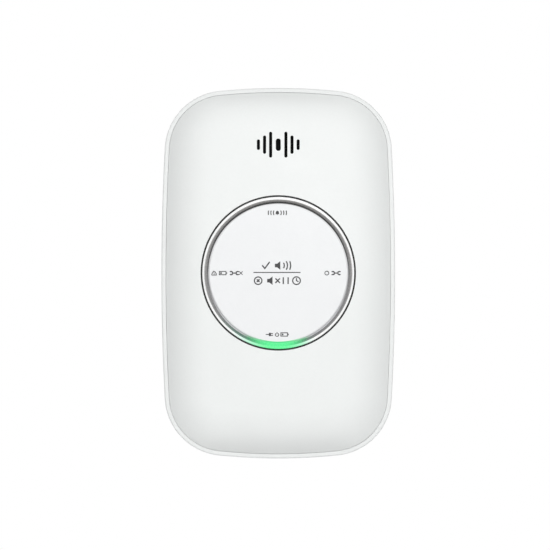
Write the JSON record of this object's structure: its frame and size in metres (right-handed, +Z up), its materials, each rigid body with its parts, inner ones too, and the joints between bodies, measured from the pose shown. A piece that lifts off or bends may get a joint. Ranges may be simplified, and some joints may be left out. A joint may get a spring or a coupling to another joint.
{
  "type": "carbon monoxide detector",
  "caption": "Battery carbon monoxide detector for a wall, with a crowned white front, a large round push button in a lit ring, a slotted sounder and a sliding battery drawer.",
  "frame": {"origin": "centre of the wall plate's back face, on the wall", "axes": "+Z up along the detector's height, +Y into the wall, so the front looks along -Y; +X to the right seen from the front"},
  "size_m": [0.0756, 0.034, 0.12],
  "materials": {
    "housing_white": "fine satin spark texture",
    "cover_white": "satin",
    "button_white": "satin",
    "plate_white": "matt",
    "ring_clear": "clear frosted",
    "baffle_black": "matt",
    "board_green": "solder mask",
    "moulding_black": "matt",
    "lamp_clear": "clear lens",
    "lamp_lit": "lit green lens",
    "steel": "nickel plated",
    "mesh_black": "fine acoustic cloth",
    "foam_grey": "closed-cell foam",
    "disc_brass": "rolled",
    "ceramic_grey": "silvered",
    "filter_white": "felt",
    "pin_gold": "gold flashed",
    "can_aluminium": "satin with sleeve",
    "copper_winding": "enamelled wire",
    "resistor_black": "glazed",
    "capacitor_tan": "matt",
    "wire_red": "insulation",
    "wire_black": "insulation",
    "drawer_white": "fine satin spark texture",
    "cell_jacket": "printed jacket, plain",
    "label_silver": "matt film"
  },
  "bodies": {
    "wall_plate": {"wall_plate": "plate_white"},
    "unit": {"rear_housing": "housing_white", "front_cover": "cover_white", "light_ring": "ring_clear", "light_baffle": "baffle_black", "circuit_board": "board_green", "switch_body": "moulding_black", "switch_frame": "steel", "lamp_fault": "lamp_clear", "lamp_alarm": "lamp_clear", "lamp_malfunction": "lamp_clear", "lamp_power": "lamp_lit", "grille_mesh": "mesh_black", "horn_gasket": "foam_grey", "horn_housing": "moulding_black", "horn_base": "moulding_black", "horn_pins": "pin_gold", "piezo_disc": "disc_brass", "piezo_ceramic": "ceramic_grey", "co_sensor_can": "steel", "co_sensor_base": "moulding_black", "co_sensor_filter": "filter_white", "co_sensor_pins": "pin_gold", "microcontroller": "moulding_black", "amplifier_chip": "moulding_black", "can_capacitor": "can_aluminium", "horn_inductor": "copper_winding", "chip_resistors": "resistor_black", "chip_capacitors": "capacitor_tan", "service_header": "moulding_black", "positive_contact": "steel", "negative_contact": "steel", "negative_spring": "steel", "battery_lead_red": "wire_red", "battery_lead_black": "wire_black", "rating_label": "label_silver", "board_screws": "steel", "housing_screws": "steel"},
    "button": {"button_cap": "button_white"},
    "plunger": {"switch_plunger": "moulding_black"},
    "drawer": {"battery_drawer": "drawer_white", "drawer_strap": "steel", "drawer_spring": "steel", "cell_left": "cell_jacket", "cell_right": "cell_jacket"}
  },
  "joints": [
    {"name": "unit_lift", "type": "slide", "parent": "wall_plate", "child": "unit", "axis": [0, 0, 1], "range_m": [0, 0.005]},
    {"name": "button_press", "type": "slide", "parent": "unit", "child": "button", "axis": [0, 1, 0], "range_m": [0, 0.0005], "stiffness_N_per_m": 1200, "springref_m": -0.0008},
    {"name": "plunger_press", "type": "slide", "parent": "unit", "child": "plunger", "axis": [0, 1, 0], "range_m": [0, 0.0005]},
    {"name": "drawer_slide", "type": "slide", "parent": "unit", "child": "drawer", "axis": [0, 0, -1], "range_m": [0, 0.05]}
  ],
  "couplings": [
    {"joint": "plunger_press", "follows": "button_press", "ratio": 1}
  ]
}
